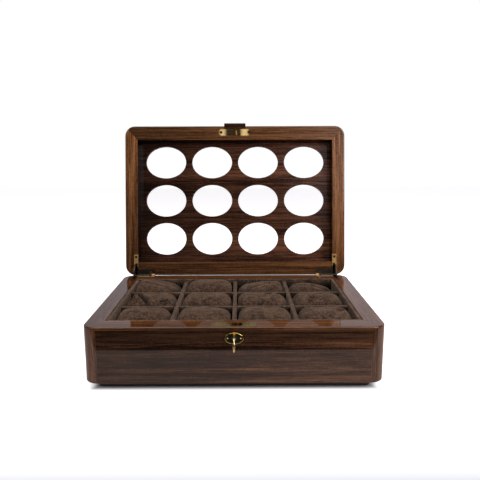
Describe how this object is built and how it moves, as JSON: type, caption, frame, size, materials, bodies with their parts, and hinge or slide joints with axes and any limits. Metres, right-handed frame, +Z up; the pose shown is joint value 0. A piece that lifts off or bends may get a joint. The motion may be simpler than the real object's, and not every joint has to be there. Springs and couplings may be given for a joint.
{
  "type": "watch organizer box",
  "caption": "Lacquered walnut watch box with a hinged lid of oval glazed windows, a key lock, and a suede tray of cushions in separate cells",
  "frame": {"origin": "middle of the felt on the underside, on the surface that the box stands on", "axes": "+X to the right, +Y to the hinges at the back, +Z up; the lid is open at rest"},
  "size_m": [0.38, 0.3706, 0.344],
  "materials": {
    "carcass_walnut": "high gloss clear lacquer, horizontal straight grain",
    "post_walnut": "high gloss clear lacquer, upright grain",
    "rim_walnut": "high gloss clear lacquer",
    "lid_walnut": "high gloss clear lacquer, grain along each rail",
    "panel_walnut": "high gloss clear lacquer, dark",
    "pull_wood": "dark stained and lacquered",
    "plinth_black": "black stained",
    "base_felt": "black felt",
    "bottom_board": "plain board",
    "tray_suede": "suede-like microfibre",
    "cushion_suede": "suede-like microfibre, stuffed",
    "window_glass": "clear sheet",
    "polished_brass": "polished, lacquered",
    "lock_steel": "plain steel"
  },
  "bodies": {
    "box": {"front_wall": "carcass_walnut", "rear_wall": "carcass_walnut", "left_wall": "carcass_walnut", "right_wall": "carcass_walnut", "corner_posts": "post_walnut", "front_rim": "rim_walnut", "rear_rim": "rim_walnut", "left_rim": "rim_walnut", "right_rim": "rim_walnut", "plinth": "plinth_black", "base_felt": "base_felt", "bottom_panel": "bottom_board", "tray_floor": "tray_suede", "tray_front_wall": "tray_suede", "tray_rear_wall": "tray_suede", "tray_left_wall": "tray_suede", "tray_right_wall": "tray_suede", "long_divider_front": "tray_suede", "long_divider_rear": "tray_suede", "cross_divider_left": "tray_suede", "cross_divider_middle": "tray_suede", "cross_divider_right": "tray_suede", "hinge_base_leaf_left": "polished_brass", "hinge_base_leaf_right": "polished_brass", "hinge_pins": "polished_brass", "base_screws": "polished_brass", "lock_faceplate": "polished_brass", "lock_case": "lock_steel", "escutcheon": "polished_brass", "escutcheon_pins": "polished_brass"},
    "lid": {"lid_front_rail": "lid_walnut", "lid_rear_rail": "lid_walnut", "lid_left_rail": "lid_walnut", "lid_right_rail": "lid_walnut", "lid_inner_panel": "panel_walnut", "lid_glass": "window_glass", "lid_top_panel": "carcass_walnut", "lid_pull": "pull_wood", "strike_plate": "polished_brass", "lid_screws": "polished_brass", "hinge_lid_leaf_left": "polished_brass", "hinge_lid_leaf_right": "polished_brass"},
    "stays": {"stay_left": "polished_brass", "stay_right": "polished_brass"},
    "lock_plug": {"lock_rotor": "polished_brass"},
    "bolt": {"lock_bolt": "lock_steel"},
    "key_body": {"key": "polished_brass"},
    "cushion_front_1_body": {"cushion_front_1": "cushion_suede"},
    "cushion_front_2_body": {"cushion_front_2": "cushion_suede"},
    "cushion_front_3_body": {"cushion_front_3": "cushion_suede"},
    "cushion_front_4_body": {"cushion_front_4": "cushion_suede"},
    "cushion_middle_1_body": {"cushion_middle_1": "cushion_suede"},
    "cushion_middle_2_body": {"cushion_middle_2": "cushion_suede"},
    "cushion_middle_3_body": {"cushion_middle_3": "cushion_suede"},
    "cushion_middle_4_body": {"cushion_middle_4": "cushion_suede"},
    "cushion_rear_1_body": {"cushion_rear_1": "cushion_suede"},
    "cushion_rear_2_body": {"cushion_rear_2": "cushion_suede"},
    "cushion_rear_3_body": {"cushion_rear_3": "cushion_suede"},
    "cushion_rear_4_body": {"cushion_rear_4": "cushion_suede"}
  },
  "joints": [
    {"name": "lid_hinge", "type": "hinge", "parent": "box", "child": "lid", "pos_m": [0, 0.1293, 0.0851], "axis": [-1, 0, 0], "range_deg": [-100, 0]},
    {"name": "stay_swing", "type": "hinge", "parent": "box", "child": "stays", "pos_m": [0, 0.1293, 0.0851], "axis": [-1, 0, 0], "range_deg": [-50, 0]},
    {"name": "key_turn", "type": "hinge", "parent": "box", "child": "lock_plug", "pos_m": [0, -0.129, 0.0715], "axis": [0, -1, 0], "range_deg": [0, 90]},
    {"name": "bolt_throw", "type": "slide", "parent": "box", "child": "bolt", "axis": [1, 0, 0], "range_m": [0, 0.0099]},
    {"name": "key_withdraw", "type": "slide", "parent": "lock_plug", "child": "key_body", "axis": [0, -1, 0], "range_m": [0, 0.03]},
    {"name": "cushion_front_1_lift", "type": "slide", "parent": "box", "child": "cushion_front_1_body", "axis": [0, 0, 1], "range_m": [0, 0.08]},
    {"name": "cushion_front_2_lift", "type": "slide", "parent": "box", "child": "cushion_front_2_body", "axis": [0, 0, 1], "range_m": [0, 0.08]},
    {"name": "cushion_front_3_lift", "type": "slide", "parent": "box", "child": "cushion_front_3_body", "axis": [0, 0, 1], "range_m": [0, 0.08]},
    {"name": "cushion_front_4_lift", "type": "slide", "parent": "box", "child": "cushion_front_4_body", "axis": [0, 0, 1], "range_m": [0, 0.08]},
    {"name": "cushion_middle_1_lift", "type": "slide", "parent": "box", "child": "cushion_middle_1_body", "axis": [0, 0, 1], "range_m": [0, 0.08]},
    {"name": "cushion_middle_2_lift", "type": "slide", "parent": "box", "child": "cushion_middle_2_body", "axis": [0, 0, 1], "range_m": [0, 0.08]},
    {"name": "cushion_middle_3_lift", "type": "slide", "parent": "box", "child": "cushion_middle_3_body", "axis": [0, 0, 1], "range_m": [0, 0.08]},
    {"name": "cushion_middle_4_lift", "type": "slide", "parent": "box", "child": "cushion_middle_4_body", "axis": [0, 0, 1], "range_m": [0, 0.08]},
    {"name": "cushion_rear_1_lift", "type": "slide", "parent": "box", "child": "cushion_rear_1_body", "axis": [0, 0, 1], "range_m": [0, 0.08]},
    {"name": "cushion_rear_2_lift", "type": "slide", "parent": "box", "child": "cushion_rear_2_body", "axis": [0, 0, 1], "range_m": [0, 0.08]},
    {"name": "cushion_rear_3_lift", "type": "slide", "parent": "box", "child": "cushion_rear_3_body", "axis": [0, 0, 1], "range_m": [0, 0.08]},
    {"name": "cushion_rear_4_lift", "type": "slide", "parent": "box", "child": "cushion_rear_4_body", "axis": [0, 0, 1], "range_m": [0, 0.08]}
  ],
  "couplings": [
    {"joint": "stay_swing", "follows": "lid_hinge", "ratio": 0.5},
    {"joint": "bolt_throw", "follows": "key_turn", "m_per_rad": 0.0063022}
  ]
}
